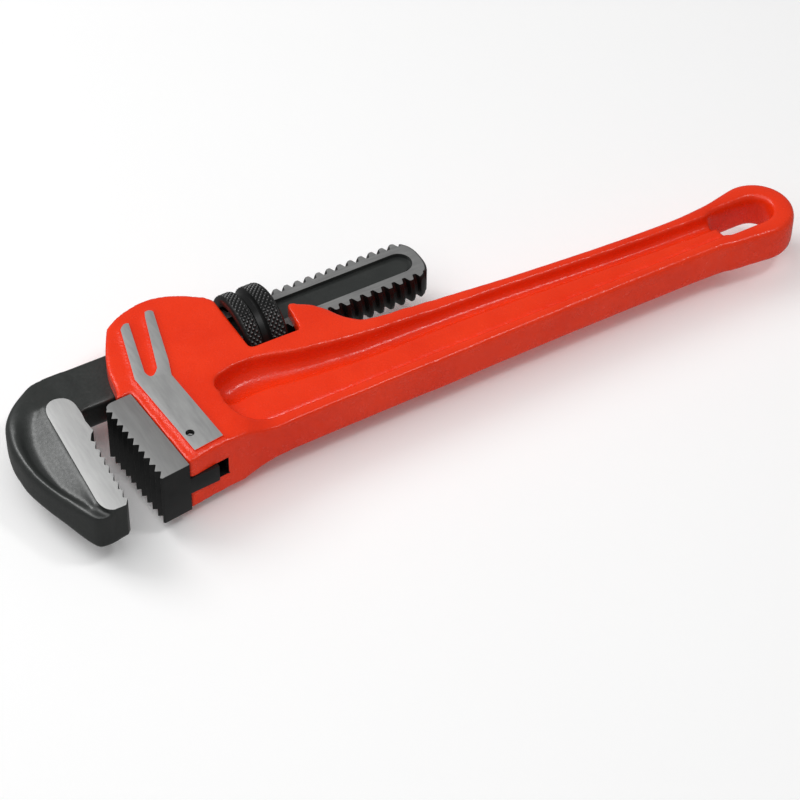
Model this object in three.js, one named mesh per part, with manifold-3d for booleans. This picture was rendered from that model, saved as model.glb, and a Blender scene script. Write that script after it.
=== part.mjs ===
// Adjustable straight pipe wrench, 300 mm long: a painted cast handle with its housing, a forged hook jaw
// whose flat threaded shank runs through a knurled nut, a toothed heel jaw and its pin, and the leaf spring,
// its pin and the coil spring that hold the shank in the housing.
//
// Millimetres. x runs along the handle, away from the jaws. y runs from the foot of the heel jaw up to the
// back of the hook. z is the thickness, and 0 is the middle plane of the casting. The last lines move the
// whole group so that its origin is the middle of the bottom of its box.

import * as THREE from "three";
import { mergeVertices } from "three/addons/utils/BufferGeometryUtils.js";
import Module from "manifold-3d";

// ---- Driving dimensions ----

const GAP = 0.3; // between two pieces that bear on each other
const ROCK_DEG = 2.5; // how far the hook jaw rocks in the housing

// Shank of the hook jaw
const SHANK_Y = 55.6; // height of the shank's axis
const SHANK_HALF = 5.3; // half thickness of the shank
const CREST_RADIUS = 11.4;
const THREAD_DEPTH = 2;
const THREAD_PITCH = 4.35;
const THREAD_PLAY = 0.6; // radial play between the shank's thread and the nut's
const NECK_HALF = 10.5; // half width of the plain neck
const THREAD_START_X = -47;
const TAIL_X = 40.9;
const TAIL_CORNER = 10.5; // radius of the tail's two corners
const FACE_GROOVE_HALF = 5.1; // half width of the groove along each face of the shank
const FACE_GROOVE_DEPTH = 1.6;
const FACE_GROOVE_END = 4.2; // land left between the groove and the tail

// Adjusting nut
const NUT_FRONT_X = -36.6;
const NUT_LENGTH = 16;
const NUT_RADIUS = 16.1;
const NUT_GROOVE_WIDTH = 2.6; // smooth groove between the two knurled bands
const NUT_GROOVE_DEPTH = 1.7;
const NUT_CHAMFER = 1.3;

// Jaws
const HEEL_HALF = 11; // half thickness of the heel jaw
const HOOK_HALF = 9.25; // half thickness of the hook at its teeth and ground face
const HOOK_RIM_HALF = 7.4; // half thickness of the forging behind the ground face
const HEEL_TOP_TOOTH = [-94.8, 35];
const HEEL_TILT_DEG = 3.26;
const HEEL_TOOTH_PITCH = 3.63;
const HEEL_TOOTH_DEPTH = 1.8;
const HEEL_TEETH = 10;
const HEEL_BODY = 11.3; // from the tooth tips to the back
const TONGUE_HALF = 3.5; // half thickness of the tongue behind the heel jaw
const TONGUE_DEPTH = 11.4;
const TONGUE_TOP = 7; // how far the tongue's top lies below the top tooth
const HOOK_TOP_TOOTH = [-102.9, 30];
const HOOK_TILT_DEG = -4.24;
const HOOK_TOOTH_PITCH = 4.06;
const HOOK_TOOTH_DEPTH = 1.3;
const HOOK_TEETH = 9;
const HEEL_PIN_RADIUS = 1.25;
const HEEL_PIN_SINK = 1.6; // how far the pin's ends lie under the pads

// Casting
const HEAD_HALF = 11.5;
const PAD_HALF = 12.5; // to the ground pads
const HUMP_HALF = 10.5; // half thickness at the hump behind the window
const HANDLE_HALF = 7.5;
const WEB_HALF = 3; // half thickness of the web between the two rails
const HANDLE_FOOT_Y = 3.3; // the handle's lower edge
const LOWER_RAIL_WIDTH = 4.8;
const UPPER_RAIL_WIDTH = 6.3;
const ROOF = 10.8; // from the thread's crest to the top of the crown
const CHANNEL_SIDE_PLAY = 0.5;
const WINDOW_FRONT_PLAY = 1.1; // room for the nut to rock
const WINDOW_REAR_PLAY = 2.6;
const WINDOW_FLOOR_PLAY = 0.8;
const HUMP_LEAN = 1.8; // how far the window's rear wall leans back
const EYE_X = 159.8; // centre of the round end
const END_RADIUS = 14.4;
const EYE_LENGTH = 23;
const EYE_HALF = 6.4;

// Springs
const LEAF_THICKNESS = 0.8;
const LEAF_HALF = 4.4;
const LEAF_EYE_RADIUS = 1.6; // bore of the leaf's eye
const SPRING_PIN_RADIUS = 0.9;
const SPRING_PIN_X = -44;
const COIL_X = -60;
const COIL_RADIUS = 3.6; // to the middle of the wire
const COIL_WIRE = 0.6; // radius of the wire
const COIL_HEIGHT = 7.6;
const COIL_TURNS = 4;

const rad = THREE.MathUtils.degToRad;

// ---- Solids: three.js geometry, joined and cut by manifold-3d ----

const wasm = await Module();
wasm.setup();

function solid(geometry) {
  const bare = geometry.index ? geometry : geometry.clone();
  bare.deleteAttribute("normal");
  bare.deleteAttribute("uv");
  const merged = mergeVertices(bare, 1e-4);
  return new wasm.Manifold(
    new wasm.Mesh({
      numProp: 3,
      vertProperties: merged.attributes.position.array,
      triVerts: new Uint32Array(merged.index.array),
    }),
  );
}

function geometryOf(made) {
  const { vertProperties, triVerts } = made.getMesh();
  const geometry = new THREE.BufferGeometry();
  geometry.setAttribute("position", new THREE.BufferAttribute(vertProperties, 3));
  geometry.setIndex(new THREE.BufferAttribute(triVerts, 1));
  const flat = geometry.toNonIndexed();
  flat.computeVertexNormals();
  return flat;
}

const points = (list) => list.map(([x, y]) => new THREE.Vector2(x, y));

// A closed outline in x and y, extruded to plus and minus half.
function plate(shape, half, curveSegments = 6) {
  const geometry = new THREE.ExtrudeGeometry(shape, { depth: 2 * half, bevelEnabled: false, curveSegments });
  return solid(geometry.translate(0, 0, -half));
}

// The same with its edges rounded by round; the outline stays the widest line.
function roundedPlate(shape, half, round, curveSegments = 6) {
  const geometry = new THREE.ExtrudeGeometry(shape, {
    depth: 2 * (half - round),
    bevelThickness: round,
    bevelSize: round,
    bevelOffset: -round,
    bevelSegments: 3,
    curveSegments,
  });
  return solid(geometry.translate(0, 0, round - half));
}

const polygonPlate = (list, half) => plate(new THREE.Shape(points(list)), half);

function block([x0, y0, z0], [x1, y1, z1]) {
  const geometry = new THREE.BoxGeometry(x1 - x0, y1 - y0, z1 - z0);
  return solid(geometry.translate((x0 + x1) / 2, (y0 + y1) / 2, (z0 + z1) / 2));
}

function pinAlongZ(x, y, radius, z0, z1, sides = 20) {
  const geometry = new THREE.CylinderGeometry(radius, radius, z1 - z0, sides);
  return solid(geometry.rotateX(Math.PI / 2).translate(x, y, (z0 + z1) / 2));
}

// A band of thickness given at stations along x, spanning all of the casting in y.
function thicknessBand(stations, y0, y1) {
  const front = stations.map(([x, half]) => [x, half]);
  const back = stations.map(([x, half]) => [x, -half]).reverse();
  const geometry = new THREE.ExtrudeGeometry(new THREE.Shape(points([...front, ...back])), {
    depth: y1 - y0,
    bevelEnabled: false,
  });
  return solid(geometry.rotateX(Math.PI / 2).translate(0, y1, 0));
}

// A right-handed threaded rod along x. Each pitch has a root, a flank, a crest and a flank of equal width.
// Its surface is a grid sheared by one pitch in each turn, and a fan from the axis closes each end.
function threadedRod(x0, turns, rootRadius, crestRadius, sides = 32) {
  const step = THREAD_PITCH / 4;
  const rows = 4 * turns;
  const positions = [x0, 0, 0, x0 + (turns + 1) * THREAD_PITCH, 0, 0];
  const at = (row, side) => 2 + side * (rows + 1) + row;
  for (let side = 0; side < sides; side++) {
    const angle = (2 * Math.PI * side) / sides;
    for (let row = 0; row <= rows; row++) {
      const radius = row % 4 < 2 ? rootRadius : crestRadius;
      const x = x0 + row * step + (THREAD_PITCH * side) / sides;
      positions.push(x, radius * Math.cos(angle), radius * Math.sin(angle));
    }
  }
  const faces = [];
  const startLoop = [];
  const endLoop = [];
  for (let side = 0; side < sides; side++) {
    startLoop.push(at(0, side));
    endLoop.push(at(rows, side));
    const last = side === sides - 1;
    for (let row = 0; row < rows - (last ? 4 : 0); row++) {
      const near = at(row, side);
      const far = last ? at(row + 4, 0) : at(row, side + 1);
      faces.push(near, far, near + 1, far, far + 1, near + 1);
    }
  }
  for (let row = 4; row >= 1; row--) startLoop.push(at(row, 0));
  for (let row = rows - 1; row >= rows - 4; row--) endLoop.push(at(row, sides - 1));
  startLoop.forEach((from, i) => faces.push(0, startLoop[(i + 1) % startLoop.length], from));
  endLoop.forEach((from, i) => faces.push(1, from, endLoop[(i + 1) % endLoop.length]));
  const geometry = new THREE.BufferGeometry();
  geometry.setAttribute("position", new THREE.Float32BufferAttribute(positions, 3));
  geometry.setIndex(faces);
  return solid(geometry.translate(0, SHANK_Y, 0));
}

// A row of saw teeth down a jaw, as points from the top tooth to the foot: tip, valley, tip, valley...
// depthSign says which way the metal lies from the tips, and steepFirst which flank is the steep one.
function sawTeeth([x, y], tiltDeg, pitch, depth, count, depthSign, steepShare) {
  const down = new THREE.Vector2(Math.sin(rad(tiltDeg)), -Math.cos(rad(tiltDeg)));
  const inward = new THREE.Vector2(-down.y, down.x).multiplyScalar(depthSign);
  const place = (along, into) => [
    x + down.x * along + inward.x * into,
    y + down.y * along + inward.y * into,
  ];
  const line = [];
  for (let i = 0; i < count; i++) line.push(place(i * pitch, 0), place((i + steepShare) * pitch, depth));
  line.push(place(count * pitch, 0));
  return { line, place };
}

// ---- Heel jaw ----

const heelTeeth = sawTeeth(
  HEEL_TOP_TOOTH, HEEL_TILT_DEG, HEEL_TOOTH_PITCH, HEEL_TOOTH_DEPTH, HEEL_TEETH, 1, 0.31,
);
const heelAt = heelTeeth.place; // a point so far down the teeth, and so far behind their tips
const HEEL_HEIGHT = HEEL_TEETH * HEEL_TOOTH_PITCH;
const HEEL_HEAD = 3.2; // metal above the top tooth
const SLOT_DEPTH = TONGUE_DEPTH + 4.5;
const heelPinDown = HEEL_HEIGHT - 11.3;
const heelPinAt = heelAt(heelPinDown, HEEL_BODY + TONGUE_DEPTH / 2 + 1.2);

function heelJaw() {
  const body = polygonPlate(
    [
      ...heelTeeth.line,
      heelAt(HEEL_HEIGHT + 0.6, 0.6),
      heelAt(HEEL_HEIGHT, HEEL_BODY),
      heelAt(-HEEL_HEAD, HEEL_BODY),
      heelAt(-HEEL_HEAD, 3.6),
      heelAt(-1.2, 0.9),
    ],
    HEEL_HALF,
  );
  const tongue = polygonPlate(
    [
      heelAt(TONGUE_TOP, HEEL_BODY - 1),
      heelAt(TONGUE_TOP, HEEL_BODY + TONGUE_DEPTH),
      heelAt(HEEL_HEIGHT - 0.2, HEEL_BODY + TONGUE_DEPTH),
      heelAt(HEEL_HEIGHT - 0.2, HEEL_BODY - 1),
    ],
    TONGUE_HALF,
  );
  const bore = pinAlongZ(...heelPinAt, HEEL_PIN_RADIUS + GAP, -HEEL_HALF, HEEL_HALF);
  return body.add(tongue).subtract(bore);
}

// ---- Heel jaw pin: a rolled spring pin, open along one side ----

function heelPin() {
  const half = PAD_HALF - HEEL_PIN_SINK;
  const wall = 0.5;
  const tube = pinAlongZ(...heelPinAt, HEEL_PIN_RADIUS, -half, half);
  const bore = pinAlongZ(...heelPinAt, HEEL_PIN_RADIUS - wall, -half - 1, half + 1);
  const [x, y] = heelPinAt;
  const split = block([x, y - 0.2, -half - 1], [x + 2 * HEEL_PIN_RADIUS, y + 0.2, half + 1]);
  return tube.subtract(bore).subtract(split);
}

// ---- Hook jaw: hook, neck and threaded shank, one forging ----

const hookTeeth = sawTeeth(
  HOOK_TOP_TOOTH, HOOK_TILT_DEG, HOOK_TOOTH_PITCH, HOOK_TOOTH_DEPTH, HOOK_TEETH - 1, -1, 0.7,
);
const hookAt = hookTeeth.place;
const HOOK_REACH = (HOOK_TEETH - 1) * HOOK_TOOTH_PITCH;
const NECK_BACK_Y = SHANK_Y + NECK_HALF;
const NECK_FRONT_Y = SHANK_Y - NECK_HALF;

// The hook seen from the side: back of the neck, round the outside to the tip, up behind the teeth to the
// throat. The ground land stands a little in front of its straight side.
const THROAT_X = HOOK_TOP_TOOTH[0] + 1.4;
const [HOOK_TIP_X, HOOK_TIP_Y] = hookAt(HOOK_REACH, 0);
const HOOK_EDGE = 2.4; // rounding of the forging's edges
const NECK_ROOT_X = -97;
function hookShape() {
  const shape = new THREE.Shape();
  shape.moveTo(NECK_ROOT_X, NECK_BACK_Y - 0.2);
  shape.lineTo(-104, NECK_BACK_Y - 0.5);
  shape.splineThru(
    points([
      [-109.5, NECK_BACK_Y - 1.6],
      [-114, NECK_BACK_Y - 3.5],
      [-120.7, NECK_BACK_Y - 8.5],
      [-125.6, NECK_BACK_Y - 15.1],
      [-128.3, NECK_BACK_Y - 24.5],
      [-128.8, SHANK_Y - 21.2],
      [-128.1, SHANK_Y - 30.1],
      [HOOK_TIP_X - 18.4, HOOK_TIP_Y + 12.3],
      [HOOK_TIP_X - 13, HOOK_TIP_Y - 0.4],
      [HOOK_TIP_X - 8.5, HOOK_TIP_Y - 2.6],
    ]),
  );
  shape.lineTo(HOOK_TIP_X - 1.2, HOOK_TIP_Y - 2);
  shape.lineTo(...hookAt(0, 2.2));
  shape.lineTo(THROAT_X - 0.8, HOOK_TOP_TOOTH[1] + 8);
  shape.lineTo(THROAT_X, NECK_FRONT_Y - 4.5);
  shape.quadraticCurveTo(THROAT_X, NECK_FRONT_Y, NECK_ROOT_X, NECK_FRONT_Y);
  return shape;
}

// The ground land along the teeth, with its two round ends.
function hookFaceShape() {
  const shape = new THREE.Shape();
  shape.moveTo(HOOK_TIP_X, HOOK_TIP_Y);
  shape.lineTo(HOOK_TIP_X - 1.8, HOOK_TIP_Y - 2.5);
  shape.lineTo(HOOK_TIP_X - 5.9, HOOK_TIP_Y - 2.5);
  shape.quadraticCurveTo(HOOK_TIP_X - 9.2, HOOK_TIP_Y - 1.5, HOOK_TIP_X - 9.5, HOOK_TIP_Y + 3.9);
  shape.lineTo(THROAT_X - 10.7, HOOK_TOP_TOOTH[1] + 14.5);
  shape.quadraticCurveTo(THROAT_X - 10, HOOK_TOP_TOOTH[1] + 20.8, THROAT_X - 5.5, HOOK_TOP_TOOTH[1] + 21);
  shape.quadraticCurveTo(THROAT_X - 0.5, HOOK_TOP_TOOTH[1] + 20.6, THROAT_X, HOOK_TOP_TOOTH[1] + 15);
  shape.lineTo(THROAT_X, HOOK_TOP_TOOTH[1] + 10.5);
  shape.lineTo(THROAT_X - 0.5, HOOK_TOP_TOOTH[1] + 6.5);
  shape.lineTo(...hookAt(-1.2, -1.2));
  shape.lineTo(...hookAt(0, 0));
  return shape;
}

// A shank outline from x0 to the tail, with the tail's corners rounded.
function shankShape(x0, half) {
  const shape = new THREE.Shape();
  shape.moveTo(x0, SHANK_Y - half);
  shape.lineTo(TAIL_X - TAIL_CORNER, SHANK_Y - half);
  shape.quadraticCurveTo(TAIL_X, SHANK_Y - half, TAIL_X, SHANK_Y - half + TAIL_CORNER);
  shape.lineTo(TAIL_X, SHANK_Y + half - TAIL_CORNER);
  shape.quadraticCurveTo(TAIL_X, SHANK_Y + half, TAIL_X - TAIL_CORNER, SHANK_Y + half);
  shape.lineTo(x0, SHANK_Y + half);
  return shape;
}

function hookJaw() {
  const hook = roundedPlate(hookShape(), HOOK_RIM_HALF, HOOK_EDGE, 4);
  const face = plate(hookFaceShape(), HOOK_HALF, 4);
  // The taller rim of teeth is cut by the space in front of the saw line.
  const [topX, topY] = hookAt(0, 0);
  const teethCut = polygonPlate([...hookTeeth.line, [HOOK_TIP_X + 9, HOOK_TIP_Y], [topX + 9, topY]], HOOK_HALF + 1);
  const neck = roundedPlate(
    new THREE.Shape(
      points([
        [NECK_ROOT_X - 4, NECK_FRONT_Y],
        [THREAD_START_X + 0.6, NECK_FRONT_Y],
        [THREAD_START_X + 0.6, NECK_BACK_Y],
        [NECK_ROOT_X - 4, NECK_BACK_Y],
      ]),
    ),
    SHANK_HALF,
    1,
  );
  const turns = Math.ceil((TAIL_X - THREAD_START_X) / THREAD_PITCH) + 1;
  const rootRadius = CREST_RADIUS - THREAD_DEPTH;
  const thread = threadedRod(THREAD_START_X - THREAD_PITCH, turns, rootRadius, CREST_RADIUS)
    .intersect(plate(shankShape(THREAD_START_X, CREST_RADIUS), SHANK_HALF, 8));
  const groove = new THREE.Shape();
  const grooveEnd = TAIL_X - FACE_GROOVE_END - FACE_GROOVE_HALF;
  groove.moveTo(THREAD_START_X + 2, SHANK_Y - FACE_GROOVE_HALF);
  groove.lineTo(grooveEnd, SHANK_Y - FACE_GROOVE_HALF);
  groove.absarc(grooveEnd, SHANK_Y, FACE_GROOVE_HALF, -Math.PI / 2, Math.PI / 2, false);
  groove.lineTo(THREAD_START_X + 2, SHANK_Y + FACE_GROOVE_HALF);
  const grooves = plate(groove, SHANK_HALF + 1, 6).subtract(plate(groove, SHANK_HALF - FACE_GROOVE_DEPTH, 6));
  return hook.add(face).subtract(teethCut).add(neck).add(thread).subtract(grooves);
}

// ---- Adjusting nut ----

function nut() {
  const mid = NUT_FRONT_X + NUT_LENGTH * 0.47; // the groove lies a little nearer the jaws
  const rear = NUT_FRONT_X + NUT_LENGTH;
  const floor = NUT_RADIUS - NUT_GROOVE_DEPTH;
  const half = NUT_GROOVE_WIDTH / 2;
  const slope = 0.5;
  const profile = [
    [0, NUT_FRONT_X],
    [NUT_RADIUS - NUT_CHAMFER, NUT_FRONT_X],
    [NUT_RADIUS, NUT_FRONT_X + NUT_CHAMFER],
    [NUT_RADIUS, mid - half - slope],
    [floor, mid - half],
    [floor, mid + half],
    [NUT_RADIUS, mid + half + slope],
    [NUT_RADIUS, rear - NUT_CHAMFER],
    [NUT_RADIUS - NUT_CHAMFER, rear],
    [0, rear],
  ];
  const lathe = new THREE.LatheGeometry(points(profile), 48);
  const blank = solid(lathe.rotateZ(-Math.PI / 2).translate(0, SHANK_Y, 0));
  const turns = Math.ceil(NUT_LENGTH / THREAD_PITCH) + 4;
  const before = Math.ceil((NUT_FRONT_X - THREAD_START_X) / THREAD_PITCH) - 2;
  const start = THREAD_START_X - THREAD_PITCH + before * THREAD_PITCH; // in step with the shank's thread
  const rootRadius = CREST_RADIUS - THREAD_DEPTH;
  return blank.subtract(threadedRod(start, turns, rootRadius + THREAD_PLAY, CREST_RADIUS + THREAD_PLAY));
}

// ---- Springs ----

const LEAF_Y = SHANK_Y - CREST_RADIUS - GAP; // the leaf's upper side lies just under the thread's crest
const ROCK = rad(ROCK_DEG);
const springPinY = LEAF_Y - LEAF_EYE_RADIUS - LEAF_THICKNESS;
// The eye of the leaf moves with the shank as it rocks, so it stands half of that shift to each side of its pin.
const eyeShift = [
  (ROCK * (SHANK_Y - springPinY)) / 2,
  (ROCK * (SPRING_PIN_X - NUT_FRONT_X)) / 2,
];
const LEAF_FRONT_X = -84;

function leafSpring() {
  const eyeX = SPRING_PIN_X - eyeShift[0];
  const eyeY = springPinY - eyeShift[1];
  const leafTop = eyeY + LEAF_EYE_RADIUS + LEAF_THICKNESS;
  const strip = new THREE.Shape();
  const middle = (LEAF_FRONT_X + eyeX) / 2;
  strip.moveTo(eyeX, leafTop);
  strip.quadraticCurveTo(middle, leafTop - 1.6, LEAF_FRONT_X, leafTop);
  strip.lineTo(LEAF_FRONT_X, leafTop - LEAF_THICKNESS);
  strip.quadraticCurveTo(middle, leafTop - 1.6 - LEAF_THICKNESS, eyeX, leafTop - LEAF_THICKNESS);
  const outside = pinAlongZ(eyeX, eyeY, LEAF_EYE_RADIUS + LEAF_THICKNESS, -LEAF_HALF, LEAF_HALF, 24);
  const inside = pinAlongZ(eyeX, eyeY, LEAF_EYE_RADIUS, -LEAF_HALF - 1, LEAF_HALF + 1, 24);
  return plate(strip, LEAF_HALF, 8).add(outside).subtract(inside);
}

const SPRING_PIN_FOOT = -HEAD_HALF + 0.6;
const SPRING_PIN_TOP = SHANK_HALF + CHANNEL_SIDE_PLAY + 2.4;
const springPin = () =>
  pinAlongZ(SPRING_PIN_X, springPinY, SPRING_PIN_RADIUS, SPRING_PIN_FOOT, SPRING_PIN_TOP, 16);

const COIL_FOOT_Y = SHANK_Y + CREST_RADIUS + GAP + COIL_WIRE;

class Coil extends THREE.Curve {
  getPoint(t) {
    const angle = 2 * Math.PI * COIL_TURNS * t;
    return new THREE.Vector3(
      COIL_X + COIL_RADIUS * Math.cos(angle),
      COIL_FOOT_Y + COIL_HEIGHT * t,
      COIL_RADIUS * Math.sin(angle),
    );
  }
}

function coilSpring() {
  const wire = new THREE.Shape();
  wire.absarc(0, 0, COIL_WIRE, 0, 2 * Math.PI, false);
  const geometry = new THREE.ExtrudeGeometry(wire, {
    extrudePath: new Coil(),
    steps: 16 * COIL_TURNS,
    curveSegments: 4,
    bevelEnabled: false,
  });
  const made = solid(geometry);
  return made;
}

// ---- Casting: housing and handle in one ----

const CHANNEL_HALF = SHANK_HALF + CHANNEL_SIDE_PLAY;
const WINDOW_FRONT_X = NUT_FRONT_X - WINDOW_FRONT_PLAY;
const WINDOW_REAR_X = NUT_FRONT_X + NUT_LENGTH + WINDOW_REAR_PLAY;
const WINDOW_FLOOR_Y = SHANK_Y - NUT_RADIUS - WINDOW_FLOOR_PLAY;
const CROWN = [-59, SHANK_Y + CREST_RADIUS + ROOF];
const HUMP_X = WINDOW_REAR_X + HUMP_LEAN;
const HUMP_TOP_Y = SHANK_Y - 3.2;
const END_Y = HANDLE_FOOT_Y + END_RADIUS - 3.2;
const NOSE = heelAt(-HEEL_HEAD - GAP, 6.2);

// The handle's back edge from the hump to the round end, as heights above the lower edge.
const backEdge = [
  [HUMP_X + 16.3, 34],
  [HUMP_X + 23.7, 30],
  [29, 28.8],
  [EYE_X - 99, 26],
  [EYE_X - 59, 23],
  [EYE_X - 30, 22],
  [EYE_X - 14, 23],
];

function castingShape() {
  const shape = new THREE.Shape();
  const [crownX, crownY] = CROWN;
  shape.moveTo(...heelAt(HEEL_HEIGHT - 0.8, HEEL_BODY + GAP));
  shape.lineTo(...heelAt(-HEEL_HEAD - GAP, HEEL_BODY + GAP));
  shape.lineTo(...NOSE);
  shape.splineThru(
    points([
      [-87.2, SHANK_Y - 12],
      [-85.6, SHANK_Y - 3],
      [-82.2, SHANK_Y + 6],
      [crownX - 17.9, crownY - 6.2],
    ]),
  );
  shape.splineThru(
    points([
      [crownX - 10.5, crownY - 2.1],
      [crownX, crownY],
      [crownX + 9.5, crownY - 2.4],
      [WINDOW_FRONT_X - 3, crownY - 8],
      [WINDOW_FRONT_X, crownY - 11.6],
    ]),
  );
  shape.lineTo(WINDOW_FRONT_X, WINDOW_FLOOR_Y + 2);
  shape.quadraticCurveTo(WINDOW_FRONT_X, WINDOW_FLOOR_Y, WINDOW_FRONT_X + 2, WINDOW_FLOOR_Y);
  shape.lineTo(WINDOW_REAR_X - 1.4, WINDOW_FLOOR_Y);
  shape.quadraticCurveTo(WINDOW_REAR_X, WINDOW_FLOOR_Y, WINDOW_REAR_X + 0.3, WINDOW_FLOOR_Y + 1.6);
  shape.lineTo(HUMP_X, HUMP_TOP_Y - 1.6);
  shape.quadraticCurveTo(HUMP_X + 0.3, HUMP_TOP_Y, HUMP_X + 2.1, HUMP_TOP_Y - 0.4);
  shape.quadraticCurveTo(HUMP_X + 8.2, HUMP_TOP_Y - 3, HUMP_X + 12, HANDLE_FOOT_Y + 41.2);
  shape.splineThru(points(backEdge.map(([x, rise]) => [x, HANDLE_FOOT_Y + rise])));
  shape.absarc(EYE_X, END_Y, END_RADIUS, rad(100), rad(-100), true);
  shape.splineThru(
    points([
      [EYE_X - 17, HANDLE_FOOT_Y - 1.4],
      [EYE_X - 40, HANDLE_FOOT_Y],
      [-40, HANDLE_FOOT_Y],
      heelAt(HEEL_HEIGHT - 0.8, HEEL_BODY + GAP),
    ]),
  );
  return shape;
}

// The long pocket on each side of the web: its floor outline, narrower than its rim by the fillet.
const POCKET_FILLET = 3;
function pocketShape() {
  const inset = UPPER_RAIL_WIDTH + POCKET_FILLET;
  const floorY = HANDLE_FOOT_Y + LOWER_RAIL_WIDTH + POCKET_FILLET;
  const frontX = -57 + POCKET_FILLET;
  const frontTop = WINDOW_FLOOR_Y - 7.6 - POCKET_FILLET;
  const shape = new THREE.Shape();
  shape.moveTo(EYE_X - 20, floorY);
  shape.lineTo(frontX + 4, floorY);
  shape.quadraticCurveTo(frontX, floorY, frontX, floorY + 5);
  shape.lineTo(frontX, frontTop - 5);
  shape.quadraticCurveTo(frontX, frontTop, frontX + 6, frontTop);
  shape.splineThru(
    points([
      [HUMP_X, WINDOW_FLOOR_Y - 10.4 - POCKET_FILLET],
      [30, HANDLE_FOOT_Y + 28.8 - inset],
      [EYE_X - 99, HANDLE_FOOT_Y + 26 - inset],
      [EYE_X - 59, HANDLE_FOOT_Y + 23 - inset],
      [EYE_X - 20, HANDLE_FOOT_Y + 22.3 - inset],
    ]),
  );
  return shape;
}

function pocket() {
  const geometry = new THREE.ExtrudeGeometry(pocketShape(), {
    depth: HEAD_HALF,
    bevelThickness: POCKET_FILLET,
    bevelSize: POCKET_FILLET,
    bevelSegments: 2,
    curveSegments: 4,
  });
  geometry.translate(0, 0, WEB_HALF + POCKET_FILLET);
  return geometry;
}

// The same shape on the other face: mirrored in the middle plane, with its faces turned back outwards.
function turnedOver(geometry) {
  const mirrored = geometry.scale(1, 1, -1);
  const position = mirrored.getAttribute("position");
  const corner = new THREE.Vector3();
  const swap = new THREE.Vector3();
  for (let i = 0; i < position.count; i += 3) {
    corner.fromBufferAttribute(position, i);
    swap.fromBufferAttribute(position, i + 1);
    position.setXYZ(i, swap.x, swap.y, swap.z);
    position.setXYZ(i + 1, corner.x, corner.y, corner.z);
  }
  return mirrored;
}

// The hanging eye: a slot with round ends through the web, in a dish as deep as the pocket.
function eyeShape(grow) {
  const halfRun = EYE_LENGTH / 2 - EYE_HALF;
  const middle = EYE_X - 5.6;
  const shape = new THREE.Shape();
  shape.absarc(middle + halfRun, END_Y, EYE_HALF + grow, -Math.PI / 2, Math.PI / 2, false);
  shape.absarc(middle - halfRun, END_Y, EYE_HALF + grow, Math.PI / 2, Math.PI * 1.5, false);
  return shape;
}

// The fork-shaped pad that is ground flat on each face of the housing.
function padShape() {
  const left = HEEL_BODY + 4; // behind the heel's tooth line
  const right = left + 11.8;
  const shape = new THREE.Shape();
  const lean = (x, rise) => [x + rise * 0.262, SHANK_Y - 12.7 + rise];
  const [leftX] = heelAt(-HEEL_HEAD - 4, left);
  const [rightX] = heelAt(-HEEL_HEAD + 1, right);
  const prongRun = 26;
  shape.moveTo(...heelAt(HEEL_HEIGHT - 3.4, left));
  shape.lineTo(...heelAt(HEEL_HEIGHT - 4.2, right));
  shape.lineTo(...heelAt(-HEEL_HEAD + 1, right));
  shape.lineTo(...lean(rightX + 1.6, 3));
  shape.lineTo(...lean(rightX + 1.6, prongRun + 1));
  shape.quadraticCurveTo(...lean(rightX + 0.6, prongRun + 3), ...lean(rightX - 1.8, prongRun + 2.4));
  shape.lineTo(...lean(rightX - 2.2, prongRun));
  shape.lineTo(...lean(rightX - 3.4, 1.5));
  shape.quadraticCurveTo(...lean(leftX + 6, -4), ...lean(leftX + 4.2, 1.5));
  shape.lineTo(...lean(leftX + 3.8, prongRun));
  shape.quadraticCurveTo(...lean(leftX + 1.6, prongRun + 1.6), ...lean(leftX, prongRun - 1.5));
  shape.lineTo(...lean(leftX - 0.2, 0));
  return shape;
}

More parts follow.
